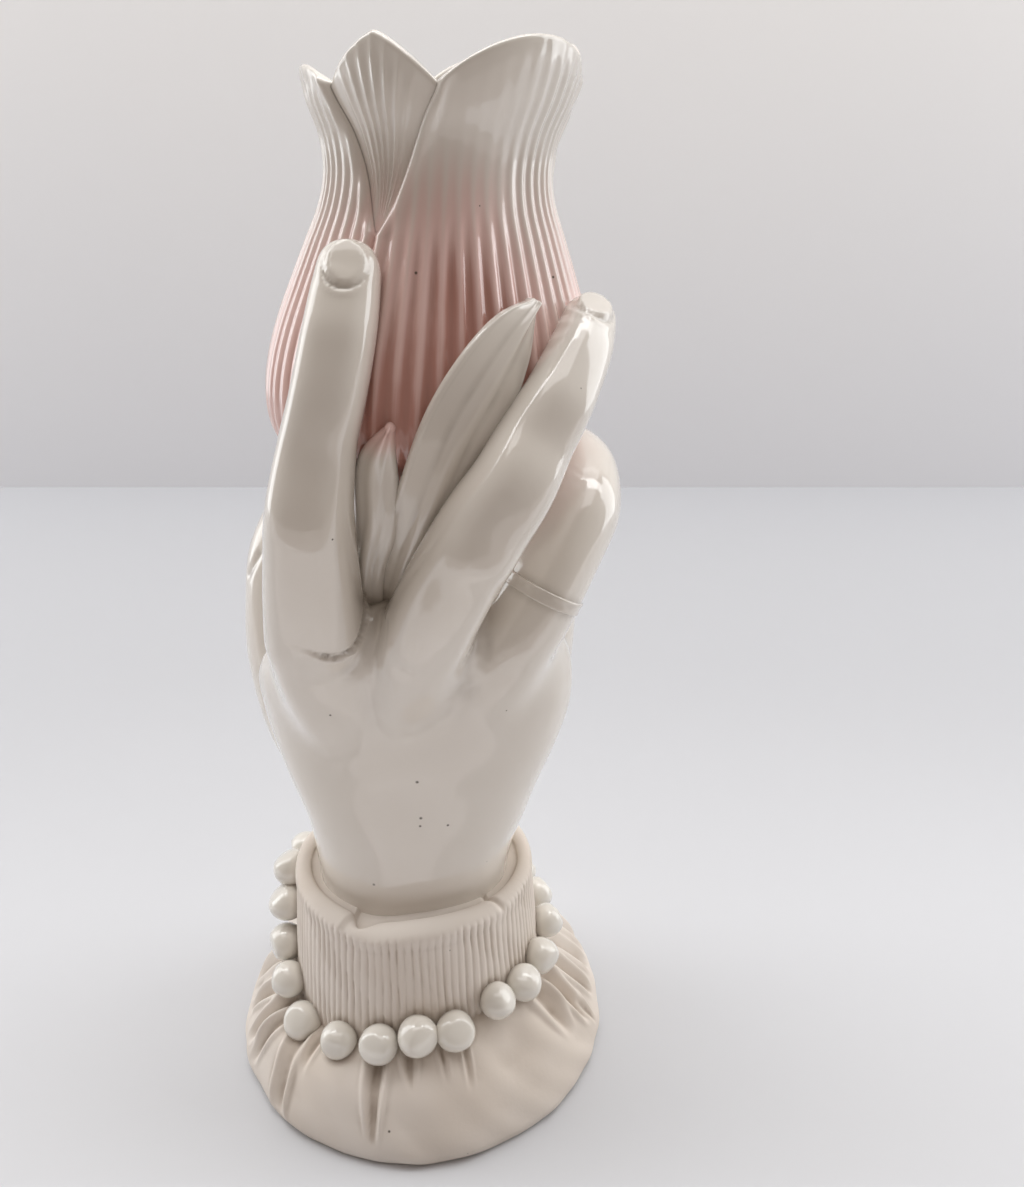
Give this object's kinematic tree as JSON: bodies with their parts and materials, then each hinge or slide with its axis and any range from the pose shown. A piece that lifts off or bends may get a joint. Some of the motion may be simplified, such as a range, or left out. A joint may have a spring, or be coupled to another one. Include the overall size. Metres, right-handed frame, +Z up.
{
  "type": "hand vase",
  "caption": "Porcelain vase in the form of an upright hand that rises from a pleated cuff with pearls and holds a ribbed tulip cup.",
  "frame": {"origin": "centre of the foot, on the surface that the vase stands on", "axes": "+Z up through the hand to the mouth, -Y towards the back of the hand and the viewer, +X to the viewer's right, on the little finger's side"},
  "size_m": [0.0808, 0.0806, 0.2],
  "materials": {
    "glaze": "gloss white glaze on hand and flower, matte bisque on cuff and foot"
  },
  "bodies": {
    "root": {"vase": "glaze"}
  },
  "joints": []
}
